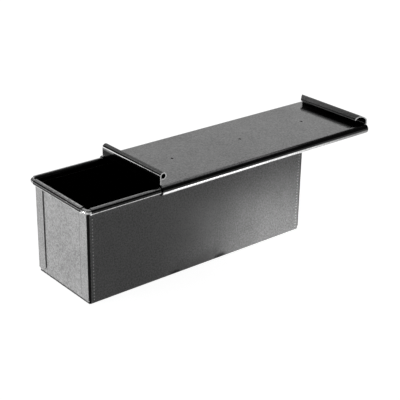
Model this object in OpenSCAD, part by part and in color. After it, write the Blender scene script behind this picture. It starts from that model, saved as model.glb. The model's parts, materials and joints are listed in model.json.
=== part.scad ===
// Pullman loaf pan: a folded sheet steel pan with a wired rim, and a cover that slides
// along the rim. Millimetres, +Z up, +X along the pan. The origin is the middle of the
// flat underside.

/* [Pan] */
// Length over the end panels
pan_length = 270; // [180:5:420]
// Width over the long walls
pan_width = 90; // [70:1:140]
// Height from the underside to the top of the rim
pan_height = 100; // [60:1:140]
// Thickness of the sheet that the pan is folded from
pan_sheet = 0.8; // [0.6:0.1:1.2]
// Inside radius of the long folds of the pan
fold_r = 1.2; // [1:0.1:2.5]
// Width of the flange that an end panel turns in against the walls and the floor
flange_w = 11; // [8:0.5:16]
// How much rounder an end panel's folds are than the folds that they lie in
fold_ease = 0.4; // [0.2:0.1:1]

/* [Corner flaps] */
// Width of the flap that a long wall folds round onto an end panel
flap_w = 13.5; // [9:0.5:20]
// Height of a flap's lower edge above the underside
flap_lift = 4; // [3:0.5:8]
// Chamfer on the lower corner of a flap
flap_chamfer = 4; // [2:0.5:6]
// Gap between the top of a flap or a flange and the rolled rim
flap_gap = 0.4; // [0.2:0.1:2]

/* [Rim] */
// Diameter of the wire that stiffens the rim
wire_d = 4.8; // [3:0.1:6]
// Clearance between the wire and the sheet rolled round it
wire_clear = 0.1; // [0.05:0.01:0.2]
// Angle through which the sheet is rolled round the wire
rim_turn = 305; // [250:5:310]
// Wire left bare beside each corner along the ends
bare_wire = 4; // [2:0.5:8]

/* [Cover] */
// Thickness of the cover's sheet
cover_sheet = 1; // [0.8:0.1:1.5]
// Height of the cover's underside over the rim
cover_lift = 0.6; // [0.4:0.1:0.9]
// Side clearance between the rim and the channel that runs on it
channel_clear = 0.9; // [0.7:0.1:1.5]
// Angle through which a channel wraps round the rim
channel_turn = 195; // [185:5:200]
// How far the shut cover reaches past the rim at each end
cover_reach = 0.5; // [0:0.5:4]
// How far the cover is drawn open
cover_open = 86.5; // [0:0.5:280]
// Diameter of the steam vents
vent_d = 3; // [1.5:0.1:5]
// Distance between the steam vents
vent_pitch = 90; // [20:1:120]

/* [Grips of the cover] */
// Inside radius of the fold at the foot of a grip
foot_r = 1.5; // [1:0.1:4]
// Height of the straight riser under the closed roll of the left grip
roll_riser_h = 7.4; // [3:0.1:12]
// Inside radius of the closed roll
roll_r = 2.6; // [2:0.1:4]
// Angle through which the closed roll is turned
roll_turn = 305; // [180:5:310]
// Height of the straight riser under the open curl of the right grip
curl_riser_h = 2.2; // [1:0.1:8]
// Inside radius of the open curl
curl_r = 4.5; // [2.5:0.1:8]
// Angle through which the open curl is turned
curl_turn = 172; // [150:1:300]
// How far the open curl reaches over the channels at each side
curl_over = 2.5; // [0:0.1:4]
// Angle at which the ends of the open curl are cut back towards its free edge
curl_snip = 36; // [0:1:45]

/* [Hidden] */
$fn = 64;

// Folds of the trough and of the end panels, and where they start
fold_outer = fold_r + pan_sheet;
panel_fold_r = fold_r + fold_ease - pan_sheet;
panel_fold_outer = panel_fold_r + pan_sheet;
inner_y = pan_width / 2 - pan_sheet;
wall_end_x = pan_length / 2 - fold_r;
panel_half_w = inner_y - panel_fold_outer;

// Rolled rim: its radius and the middle line of its wire
rim_r_in = wire_d / 2 + wire_clear;
rim_r = rim_r_in + pan_sheet;
rim_x = pan_length / 2 + rim_r_in;
rim_y = pan_width / 2 + rim_r_in;
rim_z = pan_height - rim_r;
rim_end_half = rim_y - (rim_x - wall_end_x) - bare_wire;
flap_top = rim_z - rim_r - flap_gap;

// Channels of the cover
channel_r_in = rim_r + channel_clear;
cover_z = pan_height + cover_lift;
cover_half = rim_x + rim_r + cover_reach;
foot_x = cover_half - foot_r - cover_sheet;

// How far the channels and the grips run into the flat of the cover, so that they are one sheet
cover_lap = cover_sheet;

// How far a solid that trims another one reaches past it
trim_over = cover_sheet;

// Part of a disc between two angles, for cutting an arc out of a ring
module wedge(radius, from, to) {
    steps = 6;
    reach = radius / cos((to - from) / steps / 2) + radius;
    rim = [for (i = [0:steps]) let (a = from + (to - from) * i / steps) reach * [cos(a), sin(a)]];
    polygon([[0, 0], each rim]);
}

// Sheet bent to an arc, seen on its edge
module bend(r, sheet, from, to) {
    intersection() {
        difference() {
            circle(r + sheet);
            circle(r);
        }
        wedge(r + sheet, from, to);
    }
}

// A strip of sheet seen on its edge, drawn step by step as it is folded. It starts at the
// origin along +X with its thickness on the left. A step [length] runs straight on, and a
// step [inside radius, angle] bends to the left, or to the right where the angle is negative.
module strip(sheet, steps, i = 0) {
    if (i < len(steps)) {
        step = steps[i];
        if (len(step) == 1) {
            square([step[0], sheet]);
            translate([step[0], 0]) strip(sheet, steps, i + 1);
        } else if (step[1] > 0) {
            translate([0, sheet + step[0]]) {
                bend(step[0], sheet, -90, step[1] - 90);
                rotate(step[1]) translate([0, -sheet - step[0]]) strip(sheet, steps, i + 1);
            }
        } else {
            translate([0, -step[0]]) {
                bend(step[0], sheet, 90 + step[1], 90);
                rotate(step[1]) translate([0, step[0]]) strip(sheet, steps, i + 1);
            }
        }
    }
}

// Extrude a profile drawn as (Y, Z) along X, or one drawn as (X, Z) along Y, about the middle
module along_x(length) {
    rotate([90, 0, 90]) linear_extrude(length, center = true) children();
}
module along_y(length) {
    rotate([90, 0, 0]) linear_extrude(length, center = true) children();
}

// The same piece on both ends or on both long sides
module both_ends() {
    children();
    mirror([1, 0, 0]) children();
}
module both_sides() {
    children();
    mirror([0, 1, 0]) children();
}

module trough() {
    floor_half = pan_width / 2 - fold_outer;
    color("#4a4b4d") {
        along_x(2 * wall_end_x) {
            translate([-floor_half, 0]) square([2 * floor_half, pan_sheet]);
            for (side = [0, 1]) mirror([side, 0]) translate([floor_half, 0])
                strip(pan_sheet, [[fold_r, 90], [rim_z - fold_outer], [rim_r_in, -rim_turn]]);
        }
        both_ends() {
            translate([wall_end_x, -floor_half, 0])
                cube([pan_length / 2 - wall_end_x, 2 * floor_half, pan_sheet]);
            both_sides() corner_flap();
        }
    }
}

// Where a long wall turns round the corner and lies flat against the end panel
module corner_flap() {
    flap_y = pan_width / 2 - fold_outer;
    free_y = pan_width / 2 - flap_w;
    translate([wall_end_x, flap_y, flap_lift])
        linear_extrude(flap_top - flap_lift) bend(fold_r, pan_sheet, 0, 90);
    translate([pan_length / 2 + pan_sheet / 2, 0, 0]) along_x(pan_sheet)
        polygon([
            [flap_y, flap_lift],
            [flap_y, flap_top],
            [free_y, flap_top],
            [free_y, flap_lift + flap_chamfer],
            [free_y + flap_chamfer, flap_lift]
        ]);
}

// End panel of the +X end: its face, the flanges turned in on three sides and the rolled top
module end_panel() {
    foot_z = pan_sheet + panel_fold_outer;
    fold_x = pan_length / 2 - panel_fold_outer;
    translate([pan_length / 2 - pan_sheet, -panel_half_w, foot_z])
        cube([pan_sheet, 2 * panel_half_w, rim_z - foot_z]);
    both_sides() translate([fold_x, panel_half_w, foot_z]) linear_extrude(flap_top - foot_z) {
        bend(panel_fold_r, pan_sheet, 0, 90);
        translate([-flange_w, panel_fold_r]) square([flange_w, pan_sheet]);
    }
    along_y(2 * panel_half_w) translate([fold_x, pan_sheet]) {
        translate([-flange_w, 0]) square([flange_w, pan_sheet]);
        strip(pan_sheet, [[panel_fold_r, 90]]);
    }
    along_y(2 * rim_end_half) translate([pan_length / 2, rim_z]) rotate(90)
        strip(pan_sheet, [[rim_r_in, -rim_turn]]);
}

module left_end_panel() {
    color("#5a5b5d") mirror([1, 0, 0]) end_panel();
}

module right_end_panel() {
    color("#5a5b5d") end_panel();
}

module rim_wire() {
    bend_r = rim_x - wall_end_x;
    color("#8c8e90") translate([0, 0, rim_z]) {
        both_sides() translate([-wall_end_x, rim_y, 0]) rotate([0, 90, 0])
            cylinder(d = wire_d, h = 2 * wall_end_x);
        both_ends() {
            translate([rim_x, bend_r - rim_y, 0]) rotate([-90, 0, 0])
                cylinder(d = wire_d, h = 2 * (rim_y - bend_r));
            both_sides() translate([wall_end_x, rim_y - bend_r, 0])
                rotate_extrude(angle = 90) translate([bend_r, 0]) circle(d = wire_d);
        }
    }
}

module sliding_cover() {
    color("#6f7072") translate([cover_open, 0, 0]) {
        difference() {
            translate([-foot_x, -rim_y, cover_z]) cube([2 * foot_x, 2 * rim_y, cover_sheet]);
            for (i = [-1:1]) translate([i * vent_pitch, 0, cover_z - trim_over])
                cylinder(d = vent_d, h = cover_sheet + 2 * trim_over);
        }
        both_sides() along_x(2 * cover_half) translate([rim_y - cover_lap, cover_z + cover_sheet])
            mirror([0, 1]) strip(cover_sheet, [[cover_lap], [channel_r_in, channel_turn]]);
        mirror([1, 0, 0]) grip(roll_riser_h, roll_r, roll_turn);
        snipped_ends() grip(curl_riser_h, curl_r, curl_turn, curl_over);
    }
}

// Grip of the +X end of the cover: the sheet folded up and turned over inwards
module grip(riser_h, turn_r, turn, over = 0) {
    along_y(2 * (rim_y + over)) translate([foot_x - cover_lap, cover_z])
        strip(cover_sheet, [[cover_lap], [foot_r, 90], [riser_h], [turn_r, turn]]);
}

// The open curl with its ends cut back, so that it narrows from its outer face to its free edge
module snipped_ends() {
    depth = 2 * (curl_r + cover_sheet) + foot_r + trim_over;
    height = cover_sheet + foot_r + curl_riser_h + curl_r + cover_sheet;
    half_w = rim_y + curl_over;
    out_half = half_w + trim_over * tan(curl_snip);
    in_half = half_w - depth * tan(curl_snip);
    intersection() {
        children();
        translate([cover_half, 0, cover_z - trim_over]) linear_extrude(height + 2 * trim_over)
            polygon([
                [trim_over, out_half],
                [-depth, in_half],
                [-depth, -in_half],
                [trim_over, -out_half]
            ]);
    }
}

trough();
left_end_panel();
right_end_panel();
rim_wire();
sliding_cover();
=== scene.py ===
# %% [markdown]
# # A pullman loaf pan with its cover drawn open
#
# A pullman pan bakes a square-cornered loaf. It is folded from sheet steel, its rim is rolled round a wire,
# and a flat cover slides along that rim on two curled edges. The solids come ready made from the packed
# part, so this lesson adds what solids lack: the finish of the steel, the marks of the welder, the light
# and the camera.
#
# Everything is in metres. X runs along the pan, the way the cover is drawn, Y runs across it and Z is up.
# The origin is the middle of the pan's flat underside.

import json
import math
from collections import namedtuple
from functools import reduce

import bmesh
import bpy
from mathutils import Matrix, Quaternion, Vector

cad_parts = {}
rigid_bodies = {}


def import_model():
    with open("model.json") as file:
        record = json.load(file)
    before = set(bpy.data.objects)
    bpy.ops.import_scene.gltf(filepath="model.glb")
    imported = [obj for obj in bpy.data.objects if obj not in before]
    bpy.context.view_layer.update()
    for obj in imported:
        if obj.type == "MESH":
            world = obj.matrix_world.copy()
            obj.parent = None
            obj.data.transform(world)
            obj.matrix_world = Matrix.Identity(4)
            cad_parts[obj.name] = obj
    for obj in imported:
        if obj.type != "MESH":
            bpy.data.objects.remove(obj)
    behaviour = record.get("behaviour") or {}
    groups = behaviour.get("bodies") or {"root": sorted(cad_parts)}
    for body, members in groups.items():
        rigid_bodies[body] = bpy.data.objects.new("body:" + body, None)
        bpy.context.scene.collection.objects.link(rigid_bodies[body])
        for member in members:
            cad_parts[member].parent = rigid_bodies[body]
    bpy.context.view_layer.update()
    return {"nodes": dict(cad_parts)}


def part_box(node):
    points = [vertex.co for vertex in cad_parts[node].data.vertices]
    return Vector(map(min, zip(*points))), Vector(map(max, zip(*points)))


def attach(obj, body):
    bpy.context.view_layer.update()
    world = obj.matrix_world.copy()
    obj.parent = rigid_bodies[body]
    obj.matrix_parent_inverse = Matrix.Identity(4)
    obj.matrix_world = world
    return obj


for leftover in list(bpy.data.objects):
    bpy.data.objects.remove(leftover)
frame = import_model()
print("solids:", ", ".join(sorted(frame["nodes"])))

# %% [markdown]
# ## Sizes
#
# Little is measured by eye here. The boxes of the solids say where the walls, the ends, the rim and the cover
# are, so that the marks and the finish follow the pan if its size is changed. Four small sizes have to be
# given, because a box can't tell them: how thick the sheet is, how round it is folded, how wide the flaps at
# the corners are, and how far below the top of the closed roll the painted highlight line runs.

# %% Read the pan's sizes from its solids
MM = 0.001
SHEET = 0.8 * MM
FOLD = 1.2 * MM
FLAP_WIDTH = 13.5 * MM
# How far below the top of the closed roll the painted highlight line runs.
ROLL_HIGHLIGHT_DEPTH = 2.9 * MM
_, pan_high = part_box("trough")
wire_low, wire_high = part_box("rim_wire")
cover_low, cover_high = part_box("sliding_cover")

WIRE_RADIUS = (wire_high.z - wire_low.z) / 2
RIM_X = wire_high.x - WIRE_RADIUS
RIM_Y = wire_high.y - WIRE_RADIUS
RIM_RADIUS = pan_high.y - RIM_Y
RIM_BOTTOM = pan_high.z - 2 * RIM_RADIUS
WALL_Y = RIM_Y - (RIM_RADIUS - SHEET)
PANEL_X = pan_high.x - SHEET
SEAM_Y = WALL_Y - FLAP_WIDTH
CHANNEL = cover_high.y - RIM_Y
COVER_TOP = cover_low.z + 2 * CHANNEL
ROLL_HIGHLIGHT_Z = cover_high.z - ROLL_HIGHLIGHT_DEPTH
print(f"walls at y = {WALL_Y / MM:.1f} mm, end panels at x = {PANEL_X / MM:.1f} mm")
print(f"rim from z = {RIM_BOTTOM / MM:.1f} mm, cover's face at z = {COVER_TOP / MM:.1f} mm")

# %% [markdown]
# ## Camera
#
# The camera was found by fitting the edges of the pan and of the cover in the photograph: a long lens,
# about a metre away, above the pan's left front corner and rolled by about one degree. A focal length in
# pixels becomes a lens length when it is multiplied by the sensor's width and divided by the picture's
# width.

# %% Place the camera
PICTURE_PX = 400
FOCAL_PX = 1058.75
CAMERA_AZIMUTH = math.radians(-39.90)
CAMERA_ELEVATION = math.radians(24.20)
CAMERA_ROLL = math.radians(1.08)
CAMERA_DISTANCE = 1.1026
CAMERA_TARGET = Vector((0.0338, 0, 0.0458))


def direction(azimuth, elevation):
    """The unit vector that points from the object to a viewer at this azimuth and elevation."""
    flat = math.cos(elevation)
    return Vector((math.sin(azimuth) * flat, -math.cos(azimuth) * flat, math.sin(elevation)))


camera_data = bpy.data.cameras.new("camera")
camera = bpy.data.objects.new("camera", camera_data)
bpy.context.scene.collection.objects.link(camera)
camera_back = direction(CAMERA_AZIMUTH, CAMERA_ELEVATION)
camera.location = CAMERA_TARGET + camera_back * CAMERA_DISTANCE
camera.rotation_mode = "QUATERNION"
roll = Quaternion((0, 0, 1), CAMERA_ROLL)
camera.rotation_quaternion = (-camera_back).to_track_quat("-Z", "Y") @ roll
camera_data.lens = FOCAL_PX * camera_data.sensor_width / PICTURE_PX
bpy.context.scene.camera = camera
bpy.context.scene.view_settings.view_transform = "Standard"
print(f"lens {camera_data.lens:.1f} mm")

# %% [markdown]
# ## Shader maths as expressions
#
# A finish is made of small sums: a pattern times a strength, added to a base. Placed by hand, each of them
# is a node. The class below wraps the output of a node, so that `base + 0.1 * pattern` adds the Math nodes
# by itself, and its one method `add` makes any other node from its kind, its settings and what goes into
# its sockets.
#
# Nearly every mask below is an edge: nothing on one side of it, everything on the other, and a soft step
# between. An edge is written as two numbers, where the step starts and how wide it is.

# %% Wrap a node's output
class Signal:
    """The output of a shader node. Arithmetic on signals adds Math nodes."""

    def __init__(self, tree, socket=None):
        self.tree = tree
        self.socket = socket

    def add(self, kind, settings=None, sockets=None, output=0):
        """Add a node: its settings first, then a value or a signal for each socket. Returns one output."""
        node = self.tree.nodes.new("ShaderNode" + kind)
        for name, value in (settings or {}).items():
            setattr(node, name, value)
        for name, value in (sockets or {}).items():
            if isinstance(value, Signal):
                self.tree.links.new(value.socket, node.inputs[name])
            else:
                node.inputs[name].default_value = value
        return Signal(self.tree, node.outputs[output])

    def math(self, operation, *values):
        """One Math node on these values."""
        return self.add("Math", {"operation": operation}, dict(enumerate(values)))

    def __add__(self, other):
        return self.math("ADD", self, other)

    def __sub__(self, other):
        return self.math("SUBTRACT", self, other)

    def __rsub__(self, other):
        return self.math("SUBTRACT", other, self)

    def __mul__(self, other):
        return self.math("MULTIPLY", self, other)

    def __abs__(self):
        return self.math("ABSOLUTE", self)

    def past(self, edge, soft):
        """A mask that rises from 0 at an edge to 1 a soft width beyond it."""
        sockets = {"Value": self, "From Min": edge, "From Max": edge + soft}
        return self.add("MapRange", {"interpolation_type": "SMOOTHSTEP"}, sockets)

    def short_of(self, edge, soft):
        """A mask that falls from 1 at an edge to 0 a soft width beyond it."""
        return 1 - self.past(edge, soft)

    __radd__ = __add__
    __rmul__ = __mul__


print("signals can be added, subtracted, multiplied and cut at an edge")

# %% [markdown]
# ## Where a point lies
#
# The steel of a used pan isn't the same all over. A mask is a number from 0 to 1 at each point of a
# surface, which says how much of a finish the point has. Masks could be painted on a picture that is
# wrapped round the solid. Here they are worked out from where the point lies and which way its surface
# faces, so they stay sharp at any distance and need no picture.
#
# The place is read in the coordinates of the solid itself, so the finish of the cover slides along with it.
# The pan is nearly the same at both ends and on both sides, so x and y are taken from the middle outwards,
# and one mask serves both.

# %% Read the place and the direction of a surface
Here = namedtuple("Here", "place x y z across_x across_y up")


def split(vector):
    """The three parts of a vector."""
    return [vector.add("SeparateXYZ", {}, {"Vector": vector}, output=axis) for axis in "XYZ"]


def look_round(start, place):
    """Where a point lies, x and y from the middle outwards, and which way its surface faces."""
    x, y, z = split(place)
    face_x, face_y, up = split(start.add("TexCoord", output="Normal"))
    return Here(place, abs(x), abs(y), z, abs(face_x), abs(face_y), up)


def cloud(place, size, detail=3.0, roughness=0.55):
    """A soft random pattern between 0 and 1 whose patches are about this size, in metres."""
    sockets = {"Vector": place, "Scale": 1 / size, "Detail": detail, "Roughness": roughness}
    return place.add("TexNoise", {}, sockets, output="Fac")


def grey(level):
    """A colour from a level."""
    return level.add("CombineColor", {}, {"Red": level, "Green": level, "Blue": level})


def between(low, high, mask):
    """The low value where the mask is 0 and the high one where it is 1. A mask that is no signal is empty."""
    return low + (high - low) * mask if isinstance(mask, Signal) else low


def either(one, other):
    """The higher of two masks."""
    return one.math("MAXIMUM", one, other)


def nowhere(here):
    """An empty mask."""
    return 0


print("a place has", ", ".join(Here._fields))

# %% [markdown]
# ## The rim and the inside
#
# The rim is mirror steel with painted light: all of its underside is painted bright as a painted highlight,
# and the outer half of the top is painted bright in part, more at the ends than along the walls. Between the
# two the mirror is painted nearly black, a painted dark reflection. Heights on the rim are counted in its
# radius, from its lowest line. The inside of the pan is painted black as shade, and the black ends within the
# thickness of the sheet, so that no black shows outside.

# %% Find the rim, its painted highlights and the inside painted black as shade
RIM_FOOT = (RIM_BOTTOM - 0.5 * SHEET, 0.5 * SHEET)
RIM_UNDERSIDE = (0.5, 0.25)
LONG_CROWN = (1.55, 0.25)
END_CROWN = (1.15, 0.25)
LONG_OUTSIDE = (RIM_Y - 0.4 * RIM_RADIUS, 0.3 * RIM_RADIUS)
END_OUTSIDE = (RIM_X - 0.4 * RIM_RADIUS, 0.3 * RIM_RADIUS)
# The shares of the painted highlight on the top of the rim, along the walls and at the ends.
LONG_HIGHLIGHT = 0.24
END_HIGHLIGHT = 0.33
INSIDE_WALL = (WALL_Y - 0.6 * SHEET, 0.2 * SHEET)
INSIDE_PANEL = (PANEL_X - 0.6 * SHEET, 0.2 * SHEET)
INSIDE_FLOOR = (0.4 * SHEET, 0.2 * SHEET)


def on_the_rim(here):
    """The rolled rim of the pan."""
    return here.z.past(*RIM_FOOT)


def painted_highlights_on_the_rim(here):
    """The painted highlights on the rim: all of its underside, and in part its top, outwards of its crown."""
    height = (here.z - RIM_BOTTOM) * (1 / RIM_RADIUS)
    along = here.y.past(*LONG_OUTSIDE) * height.past(*LONG_CROWN)
    ends = here.x.past(*END_OUTSIDE) * height.past(*END_CROWN)
    return either(height.short_of(*RIM_UNDERSIDE), either(LONG_HIGHLIGHT * along, END_HIGHLIGHT * ends))


def inside_the_pan(here):
    """The inner faces of the walls, the end panels and the floor, below the rim, painted black as shade."""
    within = here.y.short_of(*INSIDE_WALL) * here.x.short_of(*INSIDE_PANEL) * here.z.past(*INSIDE_FLOOR)
    return within * (1 - on_the_rim(here))


print("masks for the rim, its worn steel and the inside")

# %% [markdown]
# ## Shade painted in the folds and seams, and dark marks at the foot
#
# The upright folds at the corners and the folds along the floor are painted black as shade, and a painted
# shadow runs beside the free edge of each flap. At the foot of the long walls, near the middle, the steel is
# darker: a haze with a black mark at both of its ends. These marks have no straight edge, so a random pattern
# is taken from the distances before they are cut at an edge, which makes the edge ragged.

# %% Find the folds, the dark marks at the foot and the painted shadows in the seams
CORNER_FOLD_X = (PANEL_X - 1.2 * FOLD, 0.3 * SHEET)
CORNER_FOLD_Y = (WALL_Y - SHEET - FOLD, 0.5 * SHEET)
FOOT_FOLD = (0.5 * FOLD, 0.5 * FOLD)
FACING_ASIDE = (0.3, 0.3)
# Where the foot of the long walls is made darker, and how far the darker part reaches either way.
DARK_FOOT_X = -6 * MM
DARK_FOOT_HALF = 28 * MM
RAGGED_REACH = 16 * MM
RAGGED_SIZE = 12 * MM
RAGGED_ENDS = 0.5
RAGGED_TOP = 0.3
HAZE = 0.6
HAZE_LENGTH = (DARK_FOOT_HALF - 6 * MM, 12 * MM)
HAZE_HEIGHT = (0, 22 * MM)
MARK = 0.95
MARK_LENGTH = (4 * MM, 8 * MM)
MARK_HEIGHT = (2 * MM, 7 * MM)
# The strength of the painted shadow beside the free edges of the flaps, and where it starts and ends.
FLAP_SHADOW = 0.7
FLAP_SHADOW_START = (SEAM_Y - 1.8 * MM, 0.3 * MM)
FLAP_SHADOW_END = (SEAM_Y, 0.2 * MM)
PANEL_FACE = (PANEL_X - 0.3 * SHEET, 0.2 * SHEET)
FLAP_FOOT = (4 * FOLD, FOLD)


def on_the_folds(here):
    """The upright folds at the corners and the folds along the floor, painted black as shade."""
    corner = here.x.past(*CORNER_FOLD_X) * here.y.past(*CORNER_FOLD_Y)
    foot = here.z.short_of(*FOOT_FOLD) * here.across_y.past(*FACING_ASIDE)
    return either(corner, foot) * (1 - on_the_rim(here))


def at_mid_foot(here):
    """The foot of the long walls made darker: a haze near the middle, black at both of its ends."""
    ragged = RAGGED_REACH * (cloud(here.place, RAGGED_SIZE, detail=2.0) - 0.5)
    from_middle = abs(split(here.place)[0] - DARK_FOOT_X)
    from_end = abs(from_middle - DARK_FOOT_HALF)
    haze = (from_middle - ragged).short_of(*HAZE_LENGTH) * (here.z - ragged).short_of(*HAZE_HEIGHT)
    beside = (from_end - RAGGED_ENDS * ragged).short_of(*MARK_LENGTH)
    marks = beside * (here.z - RAGGED_TOP * ragged).short_of(*MARK_HEIGHT)
    return either(HAZE * haze, MARK * marks)


def in_the_seams(here):
    """The painted shadow on the end panels beside the free edges of the flaps."""
    line = here.y.past(*FLAP_SHADOW_START) * here.y.short_of(*FLAP_SHADOW_END)
    return line * here.x.past(*PANEL_FACE) * here.z.past(*FLAP_FOOT) * (1 - on_the_rim(here))


def painted_black_on_the_pan(here):
    """All that is painted black on the pan: its inside and its folds as shade, and in part the dark marks at
    the foot and the painted shadows in the seams.
    """
    marks = either(at_mid_foot(here), FLAP_SHADOW * in_the_seams(here))
    return either(either(inside_the_pan(here), on_the_folds(here)), marks)


print("masks for the folds, the scorch marks and the seams")

# %% [markdown]
# ## The channels of the cover
#
# The long edges of the cover are curled down round the rim as channels. Their sheet has been burnished by the
# curling into a mirror, and its colour is painted: the upper half nearly black, a painted dark reflection of
# the studio, and the lower half bright, a painted reflection of the floor, less so towards the open curl. The
# cut ends of the grips are bare steel, and a fine line along the closed roll is a painted highlight.

# %% Find the mirror steel of the cover, its painted dark and bright bands and its bare cut ends
FACING_SIDEWAYS = (0.6, 0.2)
ABOVE_THE_FACE = (COVER_TOP + 0.5 * SHEET, 0.2 * SHEET)
LINE_START = (ROLL_HIGHLIGHT_Z - 0.6 * MM, 0.3 * MM)
LINE_END = (ROLL_HIGHLIGHT_Z + 0.2 * MM, 0.3 * MM)
FACING_ENDWAYS = (0.8, 0.1)
CURL_END = (PANEL_X, MM)
CHANNEL_SIDE = (RIM_Y + 2.5 * SHEET, 2 * SHEET)
CHANNEL_TOP = (COVER_TOP, 0.5 * SHEET)
CHANNEL_MIDDLE = (cover_low.z + 0.85 * CHANNEL, 0.15 * CHANNEL)
# How much the painted reflection on the channels fades towards the open curl, and where the fading starts and
# ends.
HIGHLIGHT_FADE = 0.75
HIGHLIGHT_FADE_FROM = (0.6 * PANEL_X, PANEL_X)
CUT_SHARE = 0.45


def cut_ends(here):
    """The sawn ends of the grips, which face along the Y axis."""
    return here.across_y.past(*FACING_SIDEWAYS) * here.z.past(*ABOVE_THE_FACE)


def at_the_curl(here):
    """The end of the cover with the open curl, the only one that lies beyond the pan."""
    return here.x.past(*CURL_END)


def by_the_roll(here):
    """The painted highlight line where the closed roll leaves its riser."""
    line = here.z.past(*LINE_START) * here.z.short_of(*LINE_END)
    return line * here.across_x.past(*FACING_ENDWAYS) * (1 - at_the_curl(here))


def mirror_and_painted_dark_on_the_cover(here):
    """The mirror steel of the cover: its curled edges, painted dark where they are not bright, the cut ends
    of its grips and the highlight line along the closed roll.
    """
    channels = here.y.past(*CHANNEL_SIDE) * here.z.short_of(*CHANNEL_TOP)
    return either(channels, either(cut_ends(here), by_the_roll(here)))


def bare_and_highlit_on_the_cover(here):
    """The painted reflection on the lower half of the channels, less towards the open curl, the painted
    highlight line on the roll and the bare cut ends.
    """
    highlight_share = 1 - HIGHLIGHT_FADE * here.x.past(*HIGHLIGHT_FADE_FROM)
    below = highlight_share * here.z.short_of(*CHANNEL_MIDDLE)
    return either(below, either(CUT_SHARE * cut_ends(here), by_the_roll(here)))


print("masks for the channels, the cut ends and the line along the roll")

# %% [markdown]
# ## The grips, the face and the vents
#
# Hands have dulled the crowns of both grips. What lies behind the grips and in the steam vents is painted
# black as shade. The flat face between the grips has the thickest skin, which scatters a part of the light,
# so it stays grey where a mirror would be black.

# %% Find the handled crowns, the face and the black corners of the cover
ROLL_CROWN = COVER_TOP + 11.2 * MM
CURL_CROWN = COVER_TOP + 4.8 * MM
CURL_CROWN_SLOPE = 0.25
CROWN_EDGE = (0, MM)
FACING_UP = (0, 0.2)
FLAT = (0.9, 0.08)
FACE_END = (cover_high.x - 36 * MM, 18 * MM)
FACING_LEVEL = (0.3, 0.3)
VENT_TOP = (COVER_TOP, 0.1 * MM)
VENT_SIDE = (0.8 * RIM_Y, MM)
RISER_TOP = (ROLL_HIGHLIGHT_Z - 3.4 * MM, 2.4 * MM)
HOLLOW_END = (cover_high.x - 0.7 * MM, 0.3 * MM)
UPRIGHT = (0.1, 0.3)
GRIP_FOOT = (COVER_TOP + 0.5 * MM, 1.5 * MM)


def on_the_crowns(here):
    """The crowns of the grips: a narrow one on the closed roll, a soft one on the open curl."""
    edge = between(ROLL_CROWN, CURL_CROWN, at_the_curl(here))
    slope = between(1.0, CURL_CROWN_SLOPE, at_the_curl(here))
    crown = ((here.z - edge) * slope).past(*CROWN_EDGE)
    return crown * here.up.past(*FACING_UP) * (1 - cut_ends(here))


def on_the_face(here):
    """The flat face of the cover, up to where it nears the open curl."""
    return here.up.past(*FLAT) * here.x.short_of(*FACE_END)


def in_the_vents(here):
    """The walls of the steam vents, painted black as shade."""
    return abs(here.up).short_of(*FACING_LEVEL) * here.z.short_of(*VENT_TOP) * here.y.short_of(*VENT_SIDE)


def behind_the_grips(here):
    """The riser of the closed roll and the hollow of the open curl, painted black as shade."""
    riser = (1 - at_the_curl(here)) * here.z.short_of(*RISER_TOP)
    hollow = at_the_curl(here) * here.x.short_of(*HOLLOW_END)
    return (riser + hollow) * here.up.short_of(*UPRIGHT) * here.z.past(*GRIP_FOOT) * (1 - cut_ends(here))


def painted_shade_on_the_cover(here):
    """All that is painted black as shade on the cover: its vents and what lies behind its grips."""
    return either(in_the_vents(here), behind_the_grips(here))


print("masks for the crowns, the face, the vents and what lies behind the grips")

# %% [markdown]
# ## The finish of the sheet
#
# The steel carries a thin dark satin skin, which mirrors what is round it softly. One shader could be made
# for each state of the skin and mixed, but a single one whose values move from state to state is quicker and
# bakes better. So the level, the roughness and the metallic value each start from the skin, and the masks
# lead them to mirror steel with painted dark and bright bands, to dulled steel, or to steel painted black as
# shade in hollows and folds and darker at the foot of the walls.
#
# What keeps steel from looking like plastic is that it isn't even: handling leaves cloudy patches and
# specks, and large sheets are never quite flat. The clouds go to the colour and the roughness, and the
# grain and the slow waves go to the normal through a bump.

# %% Make the patterns of handled steel
PATCH_SIZE = 30 * MM
SPECK_SIZE = 1.6 * MM
SPECK_STRENGTH = 3
SMEAR_SIZE = 18 * MM
SMEAR_STRENGTH = 0.06
WAVE_SIZE = 70 * MM
WAVE_HEIGHT = 0.25 * MM
GRAIN_SIZE = 0.9 * MM
GRAIN_HEIGHT = 0.012 * MM


def mottled(place, share):
    """Cloudy patches and fine specks, as a factor round 1."""
    patches = cloud(place, PATCH_SIZE)
    specks = cloud(place, SPECK_SIZE, detail=1.0)
    return 1 + share * (2 * patches - 1) + SPECK_STRENGTH * share * (2 * specks - 1)


def smeared(place, roughness):
    """A roughness that handling has made uneven."""
    return roughness + SMEAR_STRENGTH * (cloud(place, SMEAR_SIZE) - 0.5)


def rolled(place):
    """The normal of a rolled sheet: slow waves and a fine grain, with their heights in metres."""
    waves = cloud(place, WAVE_SIZE, detail=0.0)
    grain = cloud(place, GRAIN_SIZE, detail=2.0)
    height = WAVE_HEIGHT * waves + GRAIN_HEIGHT * grain
    return place.add("Bump", {}, {"Height": height, "Strength": 1.0, "Distance": 1.0})


print(f"patches of {PATCH_SIZE / MM:.0f} mm and specks of {SPECK_SIZE / MM:.1f} mm")

# %% Make a satin steel
BRIGHT_ROUGHNESS = 0.12
DULL_LEVEL = 0.075
DULL_METALLIC = 0.3
DULL_ROUGHNESS = 0.45
THICK_METALLIC = 0.7
# The level of the black painted as shade in hollows and folds, and of the dark marks at the foot.
BLACK_LEVEL = 0.006
BLACK_THROUGH = (0.5, 0.4)
SPECULAR = 0.35


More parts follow.
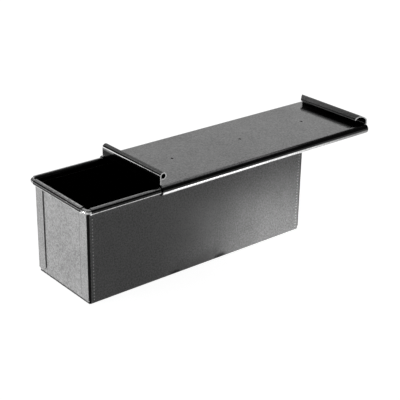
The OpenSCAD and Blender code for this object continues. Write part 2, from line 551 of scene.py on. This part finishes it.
def satin_steel(name, level, metallic, roughness, clouds=0.3, bare_and_highlight_level=1.0, painted_dark_level=0.0,
                mirror_and_painted_dark=nowhere, bare_and_highlit=nowhere, painted_black=nowhere, dulled=nowhere, thick=nowhere):
    """Steel with a satin skin of this level, mottled by a share of it. The masks say where it differs."""
    material = bpy.data.materials.new(name)
    material.use_nodes = True
    tree = material.node_tree
    tree.nodes.clear()
    start = Signal(tree)
    place = start.add("TexCoord", output="Object")
    here = look_round(start, place)
    shine = mirror_and_painted_dark(here)
    dull = dulled(here)
    black = painted_black(here)
    black_metal = black.past(*BLACK_THROUGH) if black else nowhere(here)

    # Where the mirror mask is, the colour is painted: nearly black as a painted dark reflection, and bright
    # as painted highlights and reflections, except on the bare cut ends.
    skin = between(level, between(painted_dark_level, bare_and_highlight_level, bare_and_highlit(here)), shine)
    # Where the black mask is, the colour is painted black as shade in hollows, folds and seams, and darker at
    # the foot of the long walls.
    colour = between(between(skin, DULL_LEVEL, dull) * mottled(place, clouds), BLACK_LEVEL, black)
    rough = between(between(smeared(place, roughness), BRIGHT_ROUGHNESS, shine), DULL_ROUGHNESS, dull)
    metal = between(between(metallic, THICK_METALLIC, thick(here)), 1.0, shine)
    shader = start.add("BsdfPrincipled", {}, {
        "Base Color": grey(colour),
        "Metallic": between(between(metal, DULL_METALLIC, dull), 1.0, black_metal),
        "Roughness": rough,
        "Specular IOR Level": SPECULAR,
        "Normal": rolled(place),
    })
    end = tree.nodes.new("ShaderNodeOutputMaterial")
    tree.links.new(shader.socket, end.inputs["Surface"])
    print(f"{name}: {len(tree.nodes)} nodes")
    return material


# %% Dress the solids
def dress(node, material):
    """Give a solid its finish."""
    for slot in frame["nodes"][node].material_slots:
        slot.material = material


pan_steel = satin_steel(
    "pan_steel", level=0.178, metallic=0.0, roughness=0.38, bare_and_highlight_level=0.95, painted_dark_level=0.02,
    mirror_and_painted_dark=on_the_rim, bare_and_highlit=painted_highlights_on_the_rim, painted_black=painted_black_on_the_pan)
cover_steel = satin_steel(
    "cover_steel", level=0.2, metallic=1.0, roughness=0.13, clouds=0.25, bare_and_highlight_level=0.9, painted_dark_level=0.03,
    mirror_and_painted_dark=mirror_and_painted_dark_on_the_cover, bare_and_highlit=bare_and_highlit_on_the_cover, painted_black=painted_shade_on_the_cover,
    dulled=on_the_crowns, thick=on_the_face)
wire_steel = satin_steel("wire_steel", level=0.42, metallic=1.0, roughness=0.25)
for node in ("trough", "left_end_panel", "right_end_panel"):
    dress(node, pan_steel)
dress("sliding_cover", cover_steel)
dress("rim_wire", wire_steel)
print("dressed:", ", ".join(sorted(frame["nodes"])))

# %% [markdown]
# ## Spot welds
#
# The flanges of the end panels are welded to the long walls by an upright row of spots at each end. Each
# spot is a shallow button of bare steel, about a millimetre wide. They could be painted on with a bump, but
# a button that stands a tenth of a millimetre proud also catches the light in every other view. All the
# buttons of a wall are one mesh, made from a loop. A button is a stack of rings, each with its share of the
# radius and its height over the wall, closed by a point at the top.

# %% Press the spot welds
WELD_RADIUS = 0.6 * MM
WELD_PROUD = 0.12 * MM
WELD_SINK = 0.05 * MM
WELD_PITCH = 3.3 * MM
WELD_INSET = 4.5 * MM
WELD_SIDES = 12
WELD_RINGS = ((1.0, -WELD_SINK), (1.0, 0.0), (0.6, 0.75 * WELD_PROUD))


def weld_button(sheet, x, z, side):
    """A shallow button on the wall of one side, as a small crowned disc that stands a little in the wall."""
    rings = []
    for share, proud in WELD_RINGS:
        ring = []
        for step in range(WELD_SIDES):
            angle = side * 2 * math.pi * step / WELD_SIDES
            across = share * WELD_RADIUS * math.cos(angle)
            along = share * WELD_RADIUS * math.sin(angle)
            ring.append(sheet.verts.new((x + across, side * (WALL_Y + proud), z + along)))
        rings.append(ring)
    top = sheet.verts.new((x, side * (WALL_Y + WELD_PROUD), z))
    for low, high in zip(rings, rings[1:]):
        for i in range(WELD_SIDES):
            j = (i + 1) % WELD_SIDES
            sheet.faces.new((low[i], high[i], high[j], low[j]))
    for i in range(WELD_SIDES):
        sheet.faces.new((rings[-1][i], top, rings[-1][(i + 1) % WELD_SIDES]))
    sheet.faces.new(rings[0])


def weld_rows(name, side, finish):
    """The two upright rows of spot welds on the wall of one side."""
    sheet = bmesh.new()
    count = int((RIM_BOTTOM - 2 * WELD_INSET) / WELD_PITCH) + 1
    for end in (-1, 1):
        for i in range(count):
            weld_button(sheet, end * (PANEL_X - WELD_INSET), WELD_INSET + i * WELD_PITCH, side)
    bmesh.ops.recalc_face_normals(sheet, faces=sheet.faces)
    mesh = bpy.data.meshes.new(name)
    sheet.to_mesh(mesh)
    sheet.free()
    mesh.shade_smooth()
    row = bpy.data.objects.new(name, mesh)
    bpy.context.scene.collection.objects.link(row)
    row.data.materials.append(finish)
    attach(row, "pan")
    print(f"{name}: {2 * count} spots")


weld_steel = satin_steel("weld_steel", level=0.6, metallic=0.3, roughness=0.35)
weld_rows("front_welds", -1, weld_steel)
weld_rows("back_welds", 1, weld_steel)

# %% [markdown]
# ## Floor
#
# The photograph has no ground at all, only white. A floor that was simply lit until it looked white would
# light the pan from below as well. So the floor is a plain pale grey under the lamps, and it glows, but
# only for what looks at it: the camera, and the rays that leave a glossy or clear surface. The pan mirrors
# the same white that the camera sees, and its shadow on the floor stays.

# %% Lay the floor
FLOOR_HALF = 6.0
FLOOR_GREY = 0.3
FLOOR_GLOW = 0.94


def ray_is(start, *kinds):
    """1 for a ray of any of these kinds and 0 for the others."""
    return reduce(either, [start.add("LightPath", output=kind) for kind in kinds])


def floor_finish():
    """Pale grey under the lamps, with a glow that only the camera and mirrored rays see."""
    material = bpy.data.materials.new("floor_white")
    material.use_nodes = True
    tree = material.node_tree
    tree.nodes.clear()
    start = Signal(tree)
    matte = start.add("BsdfDiffuse", {}, {"Color": (FLOOR_GREY, FLOOR_GREY, FLOOR_GREY, 1)})
    seen = ray_is(start, "Is Camera Ray", "Is Glossy Ray", "Is Transmission Ray")
    glow = start.add("Emission", {}, {"Color": (1, 1, 1, 1), "Strength": FLOOR_GLOW * seen})
    total = start.add("AddShader", {}, {0: matte, 1: glow})
    end = tree.nodes.new("ShaderNodeOutputMaterial")
    tree.links.new(total.socket, end.inputs["Surface"])
    return material


sheet = bmesh.new()
corners = [(-1, -1), (1, -1), (1, 1), (-1, 1)]
sheet.faces.new([sheet.verts.new((x * FLOOR_HALF, y * FLOOR_HALF, 0)) for x, y in corners])
floor_mesh = bpy.data.meshes.new("floor")
sheet.to_mesh(floor_mesh)
sheet.free()
floor = bpy.data.objects.new("floor", floor_mesh)
bpy.context.scene.collection.objects.link(floor)
floor.data.materials.append(floor_finish())
print(f"floor {2 * FLOOR_HALF:.0f} m wide")

# %% [markdown]
# ## Lamps
#
# What a satin metal looks like is decided by where the lamps stand. The end of the pan is light because a low
# panel stands far off on the left, and because it is low its light never gets over the cover, so the inner
# side of the right grip stays unlit; it is also painted black as shade. The top of the cover is a soft mirror
# of a panel behind it on the right. The crowns and the folds, which look up, see a wide panel overhead. The
# front is dark: a spot from the front lifts its lower right part, and a small panel close to the floor its
# foot.
#
# A lamp's strength is given as the level that a white card would have where the lamp is aimed, so that 1 is
# white. A panel or a spot spreads its power, so the power grows with the square of the distance.

# %% Hang the lamps
SPOT_RADIUS = 0.05
SPOT_SOFTNESS = 1.0
LEFT_END = (-0.13, 0, 0.05)
MIDDLE = (0.05, 0, 0.05)


def aimed(name, data, place, aim):
    """Hang a lamp at a place and turn it to an aim."""
    lamp = bpy.data.objects.new(name, data)
    bpy.context.scene.collection.objects.link(lamp)
    lamp.location = place
    lamp.rotation_mode = "QUATERNION"
    lamp.rotation_quaternion = (Vector(aim) - Vector(place)).to_track_quat("-Z", "Y")
    lamp.visible_camera = False
    print(f"{name}: {data.energy:.2f} W")


def softbox(name, place, aim, width, height, level):
    """A rectangular lamp that gives a white card at its aim this level."""
    data = bpy.data.lights.new(name, "AREA")
    data.shape = "RECTANGLE"
    data.size = width
    data.size_y = height
    data.energy = level * (math.pi * (Vector(aim) - Vector(place)).length) ** 2
    aimed(name, data, place, aim)


def spot(name, place, aim, spread, level):
    """A soft-edged spot that gives a white card at its aim this level."""
    data = bpy.data.lights.new(name, "SPOT")
    data.spot_size = math.radians(spread)
    data.spot_blend = SPOT_SOFTNESS
    data.shadow_soft_size = SPOT_RADIUS
    data.energy = level * (2 * math.pi * (Vector(aim) - Vector(place)).length) ** 2
    aimed(name, data, place, aim)


softbox("left_panel", place=(-1.5, 0.35, 0.07), aim=LEFT_END, width=0.6, height=0.12, level=1.72)
softbox("back_panel", place=(0.93, 1.05, 0.665), aim=MIDDLE, width=1.3, height=1.0, level=0.135)
softbox("overhead_panel", place=(0.05, 0.7, 1.4), aim=(0.05, 0.7, 0), width=2.4, height=2.4, level=0.45)
spot("front_spot", place=(0.4, -0.8, 0.04), aim=(0.11, -0.045, -0.04), spread=18, level=1.4)
softbox("foot_panel", place=(0.1, -0.115, 0.008), aim=(0.08, -0.045, 0), width=0.12, height=0.012, level=0.3)

# %% [markdown]
# ## Sky
#
# The rest of the light is a dim sky that fills the shadows, a little lighter in front. It would look nearly
# black behind the pan in a low view, so it is white to the camera. For mirrored rays it is white only near
# the horizon, where it carries on the white floor, and dark above, so that steel which looks up stays dark.

# %% Light the sky
SKY_FRONT = 0.085
SKY_BACK = 0.03
SKY_TURN = (-0.5, 0.5)
BACKDROP = 0.95
BACKDROP_TOP = (0, 0.12)

world = bpy.data.worlds.new("studio")
world.use_nodes = True
start = Signal(world.node_tree)
_, backwards, up = split(start.add("TexCoord", output="Generated"))
dim = between(SKY_FRONT, SKY_BACK, backwards.past(*SKY_TURN))
mirrored = up.short_of(*BACKDROP_TOP) * ray_is(start, "Is Glossy Ray", "Is Transmission Ray")
white = either(ray_is(start, "Is Camera Ray"), mirrored)
sky = grey(between(dim, BACKDROP, white))
world.node_tree.links.new(sky.socket, world.node_tree.nodes["Background"].inputs["Color"])
bpy.context.scene.world = world
print("sky from", SKY_BACK, "to", SKY_FRONT)
